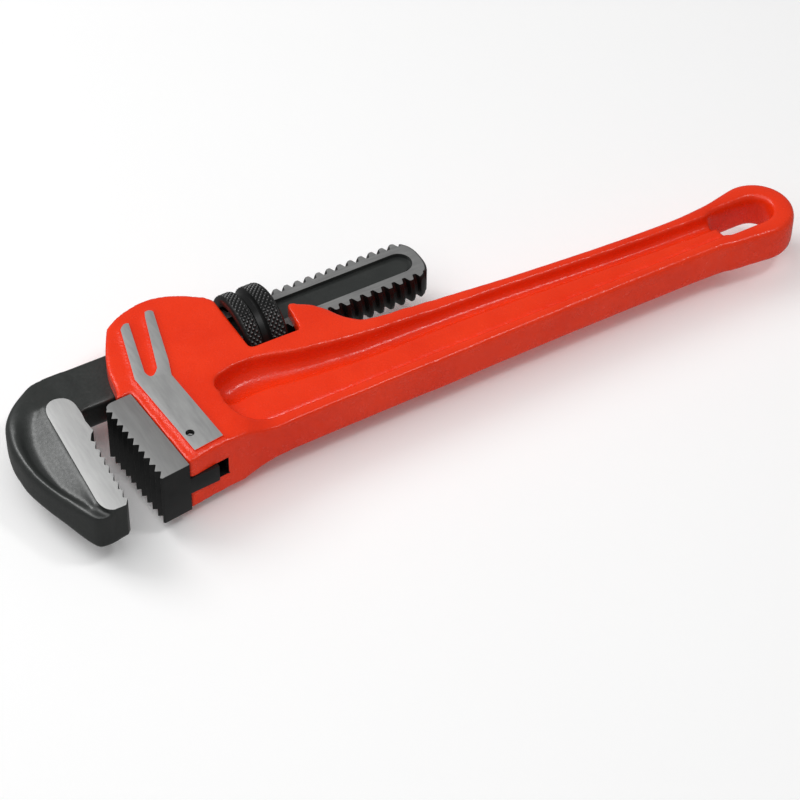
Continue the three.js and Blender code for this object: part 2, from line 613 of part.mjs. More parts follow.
function casting() {
  const outline = castingShape();
  const full = plate(outline, HEAD_HALF, 5);
  const reach = EYE_X + END_RADIUS + 5;
  const middleY = HANDLE_FOOT_Y + 11;
  const upperBand = thicknessBand(
    [
      [-95, HEAD_HALF],
      [-50, HEAD_HALF],
      [HUMP_X, HUMP_HALF],
      [HUMP_X + 46, HANDLE_HALF],
      [reach, HANDLE_HALF],
    ],
    middleY - 0.5,
    CROWN[1] + 5,
  );
  const lowerBand = thicknessBand(
    [
      [-95, HEAD_HALF],
      [-57, HEAD_HALF],
      [-46, HANDLE_HALF],
      [reach, HANDLE_HALF],
    ],
    -20,
    middleY,
  );
  const pads = plate(padShape(), PAD_HALF, 4);
  let made = full.intersect(upperBand.add(lowerBand)).add(pads);

  // Pockets and hanging eye
  made = made.subtract(solid(pocket())).subtract(solid(turnedOver(pocket())));
  const dish = plate(eyeShape(2.4), PAD_HALF, 4).subtract(plate(eyeShape(2.4), WEB_HALF + 1, 4));
  made = made.subtract(dish).subtract(plate(eyeShape(0), PAD_HALF, 6));

  // Channel for the shank, deeper towards its mouth so that the shank can rock, and the slot in the hump
  const drop = LEAF_THICKNESS + 2.2;
  const mouthX = -92;
  const mouthDrop = drop + ROCK * (NUT_FRONT_X - mouthX);
  const channelBack = SHANK_Y + CREST_RADIUS + CHANNEL_SIDE_PLAY;
  made = made.subtract(
    polygonPlate(
      [
        [mouthX, LEAF_Y - mouthDrop],
        [WINDOW_FRONT_X + 1, LEAF_Y - drop],
        [WINDOW_FRONT_X + 1, channelBack],
        [mouthX, channelBack],
      ],
      CHANNEL_HALF,
    ),
  );
  const slotFloor = SHANK_Y - CREST_RADIUS - 0.8;
  made = made.subtract(
    block([WINDOW_REAR_X - 1, slotFloor, -CHANNEL_HALF], [TAIL_X, SHANK_Y + CREST_RADIUS, CHANNEL_HALF]),
  );

  // Eye pocket and blind bore for the leaf spring's pin, and the coil spring's pocket in the crown
  const eyeRoom = LEAF_EYE_RADIUS + LEAF_THICKNESS + 0.9;
  made = made.subtract(
    block([SPRING_PIN_X - eyeRoom, springPinY - eyeRoom, -CHANNEL_HALF], [SPRING_PIN_X + eyeRoom, LEAF_Y, CHANNEL_HALF]),
  );
  made = made.subtract(
    pinAlongZ(SPRING_PIN_X, springPinY, SPRING_PIN_RADIUS + GAP, -HEAD_HALF - 1, SPRING_PIN_TOP + GAP, 16),
  );
  const coilRoom = COIL_RADIUS + COIL_WIRE + 0.5;
  const coilTop = COIL_FOOT_Y + COIL_HEIGHT + COIL_WIRE + GAP;
  const coilBore = new THREE.CylinderGeometry(coilRoom, coilRoom, coilTop - SHANK_Y, 24);
  made = made.subtract(solid(coilBore.translate(COIL_X, (coilTop + SHANK_Y) / 2, 0)));

  // Slot for the heel jaw's tongue, open at the front and at the foot, and the bore of its pin
  made = made.subtract(
    polygonPlate(
      [
        heelAt(TONGUE_TOP - 0.6, HEEL_BODY - 2),
        heelAt(TONGUE_TOP - 0.6, HEEL_BODY + SLOT_DEPTH),
        heelAt(HEEL_HEIGHT + 12, HEEL_BODY + SLOT_DEPTH),
        heelAt(HEEL_HEIGHT + 12, HEEL_BODY - 2),
      ],
      TONGUE_HALF + GAP,
    ),
  );
  return made.subtract(pinAlongZ(...heelPinAt, HEEL_PIN_RADIUS + GAP, -PAD_HALF - 1, PAD_HALF + 1));
}

// ---- Assembly ----

const paint = { color: 0xe83a1a, roughness: 0.32, metalness: 0 };
const blackForging = { color: 0x2c2e2d, roughness: 0.45, metalness: 0.6 };
const blackNut = { color: 0x242626, roughness: 0.5, metalness: 0.6 };
const heelSteel = { color: 0x7f817e, roughness: 0.4, metalness: 0.8 };
const springSteel = { color: 0xa9adb0, roughness: 0.3, metalness: 0.9 };

const wrench = new THREE.Group();
wrench.name = "pipe_wrench";

function add(name, made, material) {
  const mesh = new THREE.Mesh(geometryOf(made), new THREE.MeshStandardMaterial(material));
  mesh.name = name;
  wrench.add(mesh);
}

add("handle_casting", casting(), paint);
add("hook_jaw", hookJaw(), blackForging);
add("adjusting_nut", nut(), blackNut);
add("heel_jaw", heelJaw(), heelSteel);
add("heel_jaw_pin", heelPin(), springSteel);
add("leaf_spring", leafSpring(), springSteel);
add("leaf_spring_pin", springPin(), springSteel);
add("coil_spring", coilSpring(), springSteel);

const box = new THREE.Box3().setFromObject(wrench);
wrench.position.set(-(box.min.x + box.max.x) / 2, -(box.min.y + box.max.y) / 2, -box.min.z);

export default wrench;
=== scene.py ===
# A 300 mm straight pipe wrench: painted cast handle, forged hook jaw with a flat threaded shank,
# diamond-knurled nut, toothed heel jaw with its rolled pin, and the springs inside the housing.
#
# Sizes are in millimetres of the wrench's own drawing. x runs along the handle away from the jaws, y from
# the foot of the heel jaw up to the back of the hook, and z is the thickness, 0 in the middle plane.
# A size whose name ends in HALF is measured from the middle plane or middle line.

import math

import bpy
from mathutils import Matrix, Vector


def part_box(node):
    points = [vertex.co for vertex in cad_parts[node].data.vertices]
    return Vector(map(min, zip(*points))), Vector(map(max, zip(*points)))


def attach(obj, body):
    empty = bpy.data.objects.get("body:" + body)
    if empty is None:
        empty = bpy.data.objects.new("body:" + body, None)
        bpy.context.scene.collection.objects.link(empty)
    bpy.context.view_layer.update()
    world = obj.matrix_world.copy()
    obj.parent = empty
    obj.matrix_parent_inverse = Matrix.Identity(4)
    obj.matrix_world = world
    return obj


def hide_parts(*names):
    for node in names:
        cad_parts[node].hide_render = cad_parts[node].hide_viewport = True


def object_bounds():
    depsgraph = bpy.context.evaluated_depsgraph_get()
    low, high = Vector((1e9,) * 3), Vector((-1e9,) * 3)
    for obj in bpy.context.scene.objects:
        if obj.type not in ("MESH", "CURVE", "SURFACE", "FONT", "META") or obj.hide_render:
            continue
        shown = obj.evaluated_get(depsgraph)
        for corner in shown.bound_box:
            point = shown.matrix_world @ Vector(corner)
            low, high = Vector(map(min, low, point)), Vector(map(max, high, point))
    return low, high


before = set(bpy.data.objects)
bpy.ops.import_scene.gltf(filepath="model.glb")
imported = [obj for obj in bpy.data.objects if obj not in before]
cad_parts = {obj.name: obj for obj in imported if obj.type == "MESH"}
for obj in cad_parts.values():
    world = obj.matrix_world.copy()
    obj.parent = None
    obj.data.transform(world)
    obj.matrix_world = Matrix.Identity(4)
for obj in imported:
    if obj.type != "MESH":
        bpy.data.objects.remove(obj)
cad_low, cad_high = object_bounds()

# ---- Drawing sizes ----

MM = 0.001

# Shank and its thread
SHANK_Y = 55.6  # the thread's axis
SHANK_HALF = 5.3
CREST = 11.4  # the thread's radius
THREAD_DEPTH = 2.0
PITCH = 4.35
NECK_HALF = 10.5
THREAD_START = -47.0
TAIL = 40.9
TAIL_CORNER = 10.5
SHANK_GROOVE_HALF = 5.1
SHANK_GROOVE_DEPTH = 1.6
NECK_BACK = SHANK_Y + NECK_HALF
NECK_FRONT = SHANK_Y - NECK_HALF
ROCK_DEG = 2.5  # how far the shank rocks in its channel

# Nut
NUT_FRONT = -36.6
NUT_LENGTH = 16.0
NUT_RADIUS = 16.1
NUT_BORE = 11.9
KNURL_DEPTH = 0.6
KNURL_COUNT = 48
KNURL_LEAD = 1.9  # along x, for one groove to reach the next one's place
KNURL_FADE = 0.5  # along x, for the knurl to rise to its full depth at the nut's two ends
KNURL_ROW = 0.24  # between rings of points

# Heel jaw
HEEL_HALF = 11.0
HEEL_TIP = (-94.8, 35.0)  # the top tooth
HEEL_TILT = 3.26  # degrees that its teeth lean
HEEL_PITCH = 3.63
HEEL_TOOTH = 1.8
HEEL_TEETH = 10
HEEL_BODY = 11.3  # from the tooth tips to the back
HEEL_HEAD = 3.2  # how far the block runs on above its top tooth
HEEL_HEIGHT = HEEL_TEETH * HEEL_PITCH
TONGUE_HALF = 3.5
TONGUE_DEPTH = 11.4
TONGUE_TOP = 7.0  # below the top tooth
HEEL_PIN_RADIUS = 1.25
PIN_SINK = 1.6  # how far the pin's ends lie under the pads

# Hook jaw
HOOK_HALF = 9.25  # at the ground land
LAND_ROOT_HALF = 8.75  # where the forging ends under the land
HOOK_RIM = 7.4  # half thickness of the rim
HOOK_TIP = (-102.9, 30.0)
HOOK_TILT = -4.24
HOOK_PITCH = 4.06
HOOK_TOOTH = 1.3
HOOK_TEETH = 8

# Casting
GAP = 0.3  # between pieces that fit together
HEAD_HALF = 11.5
PAD_HALF = 12.5
PAD_SEAT = 11  # the pad plates' inner face, sunk in the head
HUMP_HALF = 10.5  # at the hump behind the window
HANDLE_HALF = 7.5
HANDLE_START = 32  # behind the hump, where the handle's edges begin to turn over
TUCK = 0.04  # keeps a welded wall just inside the one it meets
CLEAR = 15  # well outside the casting's faces
FOOT_Y = 3.3  # the handle's lower edge
WINDOW_FRONT = -37.7
WINDOW_REAR = -18.0
HUMP = -16.2
WINDOW_FLOOR = 38.7
CROWN = (-59.0, SHANK_Y + 22.2)
HUMP_TOP = SHANK_Y - 3.2
EYE = 159.8  # x of the middle of the handle's round end
END_RADIUS = 14.4
END_Y = FOOT_Y + END_RADIUS - 3.2
SLOT_HALF = 6.4  # half the hanging slot's width
CHANNEL_HALF = SHANK_HALF + 0.5
CHANNEL_FRONT = -92
LEAF_DROP = 3.0  # from the leaf spring's upper side to the channel's floor, at the nut's window
LEAF_Y = SHANK_Y - CREST - GAP

nut_low, nut_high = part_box("adjusting_nut")
ORIGIN = Vector(
    (
        nut_low.x - NUT_FRONT * MM,
        (nut_low.y + nut_high.y) / 2 - SHANK_Y * MM,
        (nut_low.z + nut_high.z) / 2,
    )
)


def at(x, y, z=0.0):
    """A point of the drawing, in metres of the frame."""
    return ORIGIN + Vector((x, y, z)) * MM


def drawn(point):
    """The drawing's millimetres of a point of the frame."""
    return (point - ORIGIN) / MM


# ---- Lines of the drawing ----


def spline(points, steps=6):
    """A smooth line through points, without its first one."""
    line = []
    for i in range(len(points) - 1):
        before = points[max(i - 1, 0)]
        start = points[i]
        end = points[i + 1]
        after = points[min(i + 2, len(points) - 1)]
        for step in range(1, steps + 1):
            t = step / steps
            xy = []
            for a, b, c, d in zip(before, start, end, after):
                v0 = (c - a) / 2
                v1 = (d - b) / 2
                cubed = 2 * b - 2 * c + v0 + v1
                squared = 3 * c - 3 * b - 2 * v0 - v1
                xy.append(cubed * t**3 + squared * t**2 + v0 * t + b)
            line.append(tuple(xy))
    return line


def curve(start, bend, end, steps=6):
    """A bend from start to end, drawn towards the corner bend, without its first point."""
    line = []
    for step in range(1, steps + 1):
        t = step / steps
        corners = zip(start, bend, end)
        line.append(tuple((1 - t) ** 2 * a + 2 * t * (1 - t) * b + t * t * c for a, b, c in corners))
    return line


def arc(centre, radius, start, end, steps=16):
    """Points on a circle from one angle to another, in degrees."""
    line = []
    for step in range(steps + 1):
        angle = math.radians(start + (end - start) * step / steps)
        line.append((centre[0] + radius * math.cos(angle), centre[1] + radius * math.sin(angle)))
    return line


def tooth_frame(tip, tilt, side):
    """A function from (along the teeth, behind their tips) to the drawing."""
    down = Vector((math.sin(math.radians(tilt)), -math.cos(math.radians(tilt))))
    inward = Vector((-down.y, down.x)) * side

    def place(along, into):
        return (tip[0] + down.x * along + inward.x * into, tip[1] + down.y * along + inward.y * into)

    return place


def heel_across(x, y):
    """How far down the heel jaw's teeth, and how far behind their tips, a point lies."""
    tilt = math.radians(HEEL_TILT)
    x -= HEEL_TIP[0]
    y -= HEEL_TIP[1]
    return x * math.sin(tilt) - y * math.cos(tilt), x * math.cos(tilt) + y * math.sin(tilt)


heel_at = tooth_frame(HEEL_TIP, HEEL_TILT, 1)
hook_at = tooth_frame(HOOK_TIP, HOOK_TILT, -1)
HOOK_REACH = HOOK_TEETH * HOOK_PITCH
HOOK_TOE = hook_at(HOOK_REACH, 0)
THROAT = HOOK_TIP[0] + 1.4
NECK_ROOT = -97.0
HEEL_PIN = heel_at(HEEL_HEIGHT - 11.3, HEEL_BODY + TONGUE_DEPTH / 2 + 1.2)


# ---- Bench work: blanks, cuts and joints ----


def step_up(value, low, high):
    """0 below low, 1 above high, and an even rise between."""
    return max(0.0, min(1.0, (value - low) / (high - low)))


def span(side, inner, outer):
    """Two heights above the middle plane, or the same two below it for side -1, the lower one first."""
    return (inner, outer) if side > 0 else (-outer, -inner)


def only(piece):
    """Selects this piece and nothing else."""
    bpy.ops.object.select_all(action="DESELECT")
    piece.select_set(True)
    bpy.context.view_layer.objects.active = piece


def prism(name, ring, run):
    """A solid bar: a ring of points in metres, filled and drawn out by the vector run."""
    bpy.ops.object.select_all(action="DESELECT")
    bpy.ops.mesh.primitive_circle_add(vertices=len(ring), radius=MM, location=(0, 0, 0))
    bar = bpy.context.object
    bar.name = name
    for vertex, point in zip(bar.data.vertices, ring):
        vertex.co = point
    bpy.ops.object.mode_set(mode="EDIT")
    bpy.ops.mesh.select_all(action="SELECT")
    bpy.ops.mesh.edge_face_add()
    bpy.ops.mesh.extrude_region_move(TRANSFORM_OT_translate={"value": run})
    bpy.ops.mesh.select_all(action="SELECT")
    bpy.ops.mesh.normals_make_consistent(inside=False)
    bpy.ops.object.mode_set(mode="OBJECT")
    return bar


def plate(name, outline, low, high):
    """A flat plate between two heights, from its outline seen along z."""
    return prism(name, [at(x, y, low) for x, y in outline], (0, 0, (high - low) * MM))


def block(name, low, high):
    """A square-cornered bar between two opposite corners."""
    outline = [low[:2], (high[0], low[1]), high[:2], (low[0], high[1])]
    return plate(name, outline, low[2], high[2])


def skin(name, rows):
    """A closed skin over rings of points: each ring runs once round, and its last point meets its first."""
    across = len(rows[0])
    bpy.ops.object.select_all(action="DESELECT")
    bpy.ops.mesh.primitive_grid_add(
        x_subdivisions=across - 1, y_subdivisions=len(rows) - 1, location=(0, 0, 0)
    )
    made = bpy.context.object
    made.name = name
    flat = [value for row in rows for point in row for value in point]
    made.data.vertices.foreach_set("co", flat)
    bpy.ops.object.mode_set(mode="EDIT")
    bpy.ops.mesh.select_all(action="SELECT")
    bpy.ops.mesh.remove_doubles(threshold=0.00001)
    bpy.ops.mesh.fill_holes(sides=0)
    bpy.ops.mesh.select_all(action="SELECT")
    bpy.ops.mesh.normals_make_consistent(inside=False)
    bpy.ops.object.mode_set(mode="OBJECT")
    return made


def rolled_over(name, outline, half, widths):
    """A plate whose edges turn over to a round at both faces, of a width given for each corner."""
    count = len(outline)
    area = 0
    for i in range(count):
        area += outline[i - 1][0] * outline[i][1] - outline[i][0] * outline[i - 1][1]
    corners = []
    for i in range(count):
        before = Vector(outline[i - 1])
        after = Vector(outline[(i + 1) % count])
        run = (after - before).normalized() * math.copysign(1, area)
        corners.append((Vector(outline[i]), Vector((-run.y, run.x)), widths[i]))
    rows = []
    steps = 5
    for side in (-1, 1):
        for step in range(steps + 1):
            turn = math.pi / 2 / steps * (steps - step if side < 0 else step)
            ring = []
            for corner, inward, width in corners:
                x, y = corner + inward * width * (1 - math.cos(turn))
                ring.append(at(x, y, side * (half - width + width * math.sin(turn))))
            rows.append(ring + ring[:1])
    return skin(name, rows)


def finish_with(piece, kind, **settings):
    """Adds a modifier with these settings and applies it."""
    only(piece)
    modifier = piece.modifiers.new(kind.lower(), kind)
    for key, value in settings.items():
        setattr(modifier, key, value)
    bpy.ops.object.modifier_apply(modifier=modifier.name)


def combine(piece, tool, operation):
    """Runs one exact boolean and throws the tool away."""
    finish_with(piece, "BOOLEAN", operation=operation, object=tool, solver="EXACT")
    bpy.data.objects.remove(tool)


def cut(piece, *tools):
    for tool in tools:
        combine(piece, tool, "DIFFERENCE")


def weld(piece, *tools):
    for tool in tools:
        combine(piece, tool, "UNION")


def gather(first, *others):
    """Joins tools that don't touch into one, so that one cut does them all."""
    only(first)
    for other in others:
        other.select_set(True)
    bpy.ops.object.join()
    return first


def cast(piece, grain, rounds, softness):
    """Runs the edges over, as moulding sand and paint do. softness(x, y) gives the share, from 0 to 1."""
    finish_with(piece, "REMESH", mode="VOXEL", voxel_size=grain * MM, adaptivity=0.0)
    soft = piece.vertex_groups.new(name="soft")
    shares = {}
    for vertex in piece.data.vertices:
        x, y = drawn(vertex.co).xy
        shares.setdefault(round(softness(x, y), 2), []).append(vertex.index)
    for share, vertices in shares.items():
        soft.add(vertices, share, "REPLACE")
    finish_with(piece, "SMOOTH", factor=0.5, iterations=rounds, vertex_group="soft")


def ease(piece, width, segments=2, angle=30):
    """Breaks the sharp edges."""
    finish_with(
        piece,
        "BEVEL",
        width=width * MM,
        segments=segments,
        limit_method="ANGLE",
        angle_limit=math.radians(angle),
        harden_normals=False,
    )


def shade(piece, angle=35):
    """Smooth shading that stays sharp where faces meet at more than the angle."""
    only(piece)
    bpy.ops.object.shade_smooth_by_angle(angle=math.radians(angle))


def face_materials(piece, materials, choose):
    """Gives each face the material that choose(centre in mm, normal) picks from the list."""
    piece.data.materials.clear()
    for material in materials:
        piece.data.materials.append(material)
    for face in piece.data.polygons:
        face.material_index = materials.index(choose(drawn(face.center), face.normal))


def one_material(piece, material):
    piece.data.materials.clear()
    piece.data.materials.append(material)
    for face in piece.data.polygons:
        face.material_index = 0


# ---- Finishes ----


def material_nodes(name):
    material = bpy.data.materials.new(name)
    material.use_nodes = True
    tree = material.node_tree
    return material, tree, tree.nodes["Principled BSDF"]


def object_pattern(tree, stretch=(1, 1, 1)):
    """Object coordinates, with the pattern drawn out along an axis where stretch is small."""
    coordinates = tree.nodes.new("ShaderNodeTexCoord")
    mapping = tree.nodes.new("ShaderNodeMapping")
    mapping.inputs["Scale"].default_value = stretch
    tree.links.new(coordinates.outputs["Object"], mapping.inputs["Vector"])
    return mapping.outputs["Vector"]


def noise(tree, vector, scale, detail=4.0, roughness=0.5):
    node = tree.nodes.new("ShaderNodeTexNoise")
    node.inputs["Scale"].default_value = scale
    node.inputs["Detail"].default_value = detail
    node.inputs["Roughness"].default_value = roughness
    tree.links.new(vector, node.inputs["Vector"])
    return node.outputs["Fac"]


def ramp(tree, value, stops):
    """Colours by value, from stops of (position, colour)."""
    node = tree.nodes.new("ShaderNodeValToRGB")
    while len(node.color_ramp.elements) < len(stops):
        node.color_ramp.elements.new(0.5)
    for element, (position, colour) in zip(node.color_ramp.elements, stops):
        element.position = position
        element.color = (*colour, 1) if len(colour) == 3 else colour
    tree.links.new(value, node.inputs["Fac"])
    return node.outputs["Color"]


def grey_ramp(tree, value, low, high, low_at=0.3, high_at=0.7):
    return ramp(tree, value, [(low_at, (low,) * 3), (high_at, (high,) * 3)])


def bump(tree, shader, height, distance, strength, before=None):
    node = tree.nodes.new("ShaderNodeBump")
    node.inputs["Distance"].default_value = distance * MM
    node.inputs["Strength"].default_value = strength
    tree.links.new(height, node.inputs["Height"])
    if before is not None:
        tree.links.new(before, node.inputs["Normal"])
    tree.links.new(node.outputs["Normal"], shader.inputs["Normal"])
    return node.outputs["Normal"]


def red_enamel():
    """Glossy orange-red enamel over the grain of a sand casting."""
    material, tree, shader = material_nodes("red_enamel")
    place = object_pattern(tree)
    drift = noise(tree, place, 45, 3)
    colour = ramp(tree, drift, [(0.3, (0.80, 0.030, 0.004)), (0.7, (0.90, 0.042, 0.007))])
    tree.links.new(colour, shader.inputs["Base Color"])
    haze = noise(tree, place, 260, 3)
    tree.links.new(grey_ramp(tree, haze, 0.18, 0.30), shader.inputs["Roughness"])
    grain = noise(tree, place, 1150, 1.5, 0.5)
    swell = noise(tree, place, 260, 2)
    first = bump(tree, shader, swell, 0.25, 0.5)
    bump(tree, shader, grain, 0.16, 0.6, first)
    shader.inputs["Specular IOR Level"].default_value = 0.4
    return material


def ground_steel(name, dark, light, stretch, roughness=(0.34, 0.5)):
    """Bright steel with the fine straight scratches of a grinding belt."""
    material, tree, shader = material_nodes(name)
    belt = noise(tree, object_pattern(tree, stretch), 900, 3, 0.6)
    cloud = noise(tree, object_pattern(tree), 60, 4)
    mix = tree.nodes.new("ShaderNodeMix")
    mix.data_type = "RGBA"
    mix.inputs["Factor"].default_value = 0.2
    scratches = ramp(tree, belt, [(0.3, (dark,) * 3), (0.7, (light, light * 1.01, light * 0.99))])
    tree.links.new(scratches, mix.inputs["A"])
    tree.links.new(grey_ramp(tree, cloud, dark, light), mix.inputs["B"])
    tree.links.new(mix.outputs["Result"], shader.inputs["Base Color"])
    shader.inputs["Metallic"].default_value = 0.3
    tree.links.new(grey_ramp(tree, belt, *roughness), shader.inputs["Roughness"])
    bump(tree, shader, belt, 0.02, 0.35)
    return material


def black_forging():
    """Satin black oil finish over a forged skin."""
    material, tree, shader = material_nodes("black_forging")
    place = object_pattern(tree)
    cloud = noise(tree, place, 70, 5)
    colour = ramp(tree, cloud, [(0.3, (0.016, 0.019, 0.018)), (0.7, (0.026, 0.029, 0.027))])
    tree.links.new(colour, shader.inputs["Base Color"])
    pits = noise(tree, place, 900, 3, 0.6)
    tree.links.new(grey_ramp(tree, pits, 0.30, 0.42), shader.inputs["Roughness"])
    first = bump(tree, shader, cloud, 0.12, 0.2)
    bump(tree, shader, pits, 0.06, 0.6, first)
    shader.inputs["Metallic"].default_value = 0.2
    shader.inputs["Specular IOR Level"].default_value = 0.9
    return material


def black_oxide(name, tone=0.012, worn=0.26):
    """Dark oxide, rubbed brighter where the piece's wear attribute is high."""
    material, tree, shader = material_nodes(name)
    place = object_pattern(tree)
    cloud = noise(tree, place, 140, 4)
    base = ramp(tree, cloud, [(0.3, (tone * 0.8, tone * 0.84, tone * 0.84)), (0.7, (tone * 1.3,) * 3)])
    wear = tree.nodes.new("ShaderNodeAttribute")
    wear.attribute_name = "wear"
    rubbed = tree.nodes.new("ShaderNodeMix")
    rubbed.data_type = "RGBA"
    tree.links.new(grey_ramp(tree, wear.outputs["Fac"], 0.0, 0.9, 0.72, 1.0), rubbed.inputs["Factor"])
    tree.links.new(base, rubbed.inputs["A"])
    rubbed.inputs["B"].default_value = (worn, worn, worn, 1)
    tree.links.new(rubbed.outputs["Result"], shader.inputs["Base Color"])
    shader.inputs["Metallic"].default_value = 0.5
    tree.links.new(grey_ramp(tree, cloud, 0.30, 0.44), shader.inputs["Roughness"])
    bump(tree, shader, noise(tree, place, 800, 2), 0.02, 0.3)
    return material


RED = red_enamel()
PAD_STEEL = ground_steel("ground_pad", 0.31, 0.40, (1, 0.12, 1), (0.48, 0.6))
HOOK_FACE = ground_steel("ground_hook_face", 0.47, 0.56, (1, 0.10, 1), (0.5, 0.62))
HEEL_FACE = ground_steel("ground_heel_face", 0.21, 0.26, (1, 0.10, 1), (0.48, 0.6))
RIM_STEEL = ground_steel("ground_shank_rim", 0.20, 0.27, (0.10, 1, 1), (0.38, 0.52))
BARE = ground_steel("machined_channel", 0.24, 0.40, (0.10, 1, 1), (0.35, 0.5))
FORGED = black_forging()
OXIDE = black_oxide("black_oxide_nut")
# The heel jaw's own dark oxide; the casting also uses it as painted shade on the walls of the heel jaw's
# slot and pin bore.
HEEL_BLACK_AND_SLOT_SHADE = black_oxide("hardened_heel_side_and_painted_slot_shade", 0.026)
THREAD_BLACK = black_oxide("thread_oxide", 0.010)
SPRING = ground_steel("spring_wire", 0.42, 0.58, (1, 1, 0.2), (0.22, 0.34))


# ---- Casting ----


def casting_outline():
    """Clockwise from the heel jaw's seat: head, crown, nut's window, hump, handle, round end and foot."""
    line = [heel_at(HEEL_HEIGHT - 0.8, HEEL_BODY + GAP), heel_at(-HEEL_HEAD - GAP, HEEL_BODY + GAP)]
    nose = heel_at(-HEEL_HEAD - GAP, 6.2)
    crown_x, crown_y = CROWN
    line.append(nose)
    front = [
        nose,
        (-87.2, SHANK_Y - 12),
        (-85.6, SHANK_Y - 3),
        (-82.2, SHANK_Y + 6),
        (crown_x - 17.9, crown_y - 6.2),
    ]
    line += spline(front)
    top = [
        front[-1],
        (crown_x - 10.5, crown_y - 2.1),
        CROWN,
        (crown_x + 9.5, crown_y - 2.4),
        (WINDOW_FRONT - 3, crown_y - 8),
        (WINDOW_FRONT, crown_y - 11.6),
    ]
    line += spline(top)
    line.append((WINDOW_FRONT, WINDOW_FLOOR + 2))
    line += curve(line[-1], (WINDOW_FRONT, WINDOW_FLOOR), (WINDOW_FRONT + 2, WINDOW_FLOOR))
    line.append((WINDOW_REAR - 1.4, WINDOW_FLOOR))
    line += curve(line[-1], (WINDOW_REAR, WINDOW_FLOOR), (WINDOW_REAR + 0.3, WINDOW_FLOOR + 1.6))
    line.append((HUMP, HUMP_TOP - 1.6))
    line += curve(line[-1], (HUMP + 0.3, HUMP_TOP), (HUMP + 2.1, HUMP_TOP - 0.4))
    line += curve(line[-1], (HUMP + 8.2, HUMP_TOP - 3), (HUMP + 12, FOOT_Y + 41.2))
    back = [
        line[-1],
        (HUMP + 16.3, FOOT_Y + 34),
        (HUMP + 23.7, FOOT_Y + 30),
        (29, FOOT_Y + 28.8),
        (EYE - 99, FOOT_Y + 26),
        (EYE - 59, FOOT_Y + 23),
        (EYE - 30, FOOT_Y + 22),
        (EYE - 14, FOOT_Y + 23),
    ]
    line += spline(back)
    line += arc((EYE, END_Y), END_RADIUS, 100, -100, 28)
    foot = [line[-1], (EYE - 17, FOOT_Y - 1.4), (EYE - 40, FOOT_Y), (-40, FOOT_Y), (-82.2, -0.2)]
    line += spline(foot)[:-1]
    return line


def thickness_bar(name, stations, low, high, slant=0.0):
    """A bar across the casting, as thick along x as the stations say, and slanting off in x."""
    front = [at(x, low, half) for x, half in stations]
    back = [at(x, low, -half) for x, half in reversed(stations)]
    rise = (high - low) * MM
    return prism(name, front + back, (slant * rise, rise, 0))


def pad_outline(grow):
    """The ground pad: a leg beside the heel jaw's seat that forks into two fingers on the head."""
    left = HEEL_BODY + 4 - grow
    right = HEEL_BODY + 15.8 + grow
    left_x = heel_at(-HEEL_HEAD - 4, left)[0]
    right_x = heel_at(-HEEL_HEAD + 1, right)[0]
    run = 26 + grow

    def lean(x, rise):
        return (x + rise * 0.262, SHANK_Y - 12.7 + rise)

    line = [heel_at(HEEL_HEIGHT - 3.4 + grow, left), heel_at(HEEL_HEIGHT - 4.2 + grow, right)]
    line += [heel_at(-HEEL_HEAD + 1, right), lean(right_x + 1.6, 3), lean(right_x + 1.6, run + 1)]
    line += curve(line[-1], lean(right_x + 0.6, run + 3), lean(right_x - 1.8 - grow, run + 2.4), 4)
    line += [lean(right_x - 2.2 - 2 * grow, run), lean(right_x - 3.4 - 2 * grow, 1.5)]
    line += curve(line[-1], lean(left_x + 6, -4 + grow), lean(left_x + 4.2 + 2 * grow, 1.5), 8)
    line.append(lean(left_x + 3.8 + 2 * grow, run))
    line += curve(line[-1], lean(left_x + 1.6, run + 1.6), lean(left_x, run - 1.5), 4)
    line.append(lean(left_x - 0.2, 0))
    return line


PANEL_HALF = 5.6
PANEL_EDGE_DEPTH = 1.2
PANEL_EDGE_WIDTH = 1.8

# The groove under the upper rail: x, y of its middle, and its radius.
GROOVE_RUN = [
    (-51.5, 27.0, 5.4),
    (-45, 28.2, 5.5),
    (-36, 27.6, 5.3),
    (-23, 25.3, 4.2),
    (-5, 23.4, 3.8),
    (5, 22.9, 3.7),
    (25, 22.7, 3.4),
    (54, 21.7, 3.0),
    (82, 20.0, 2.7),
    (111, 18.3, 2.6),
    (139, 17.2, 2.7),
    (151, 16.6, 2.8),
]
GROOVE_FLOOR = 2.4
GROOVE_TOP = 14.5


def panel_outline():
    """The raised panel's recess, up to the rails."""
    low = FOOT_Y + 5.2
    line = [(EYE - 14, low), (-49, low)]
    line += curve(line[-1], (-57, low), (-57.3, 20))
    line += curve(line[-1], (-57.3, 28), (-50, 28))
    line += spline([line[-1], (HUMP, 24), (30, 22.5), (EYE - 99, 21), (EYE - 59, 18.5), (EYE - 14, 17.5)])
    return line


def rail_groove(side):
    """The round-bottomed groove under the upper rail, which begins in a bulb under the window."""
    stations = [GROOVE_RUN[0]] + spline(GROOVE_RUN, 4)
    rows = []
    for x, y, radius in stations:
        section = arc((0, GROOVE_FLOOR + radius), radius, 180, 360, 12)
        section += [(radius, GROOVE_TOP), (-radius, GROOVE_TOP)]
        section.append(section[0])
        rows.append([at(x, y + across, side * height) for across, height in section])
    groove = skin("groove", rows)
    x, y, radius = GROOVE_RUN[0]
    centre_z = GROOVE_FLOOR + radius
    bulb = plate("bulb", arc((x, y), radius, 0, 350, 35), *span(side, centre_z, GROOVE_TOP))
    bpy.ops.object.select_all(action="DESELECT")
    bpy.ops.mesh.primitive_uv_sphere_add(
        segments=36, ring_count=18, radius=radius * MM, location=at(x, y, side * centre_z)
    )
    ball = bpy.context.object
    bpy.ops.object.transform_apply(location=True, rotation=False, scale=False)
    weld(bulb, ball)
    return groove, bulb


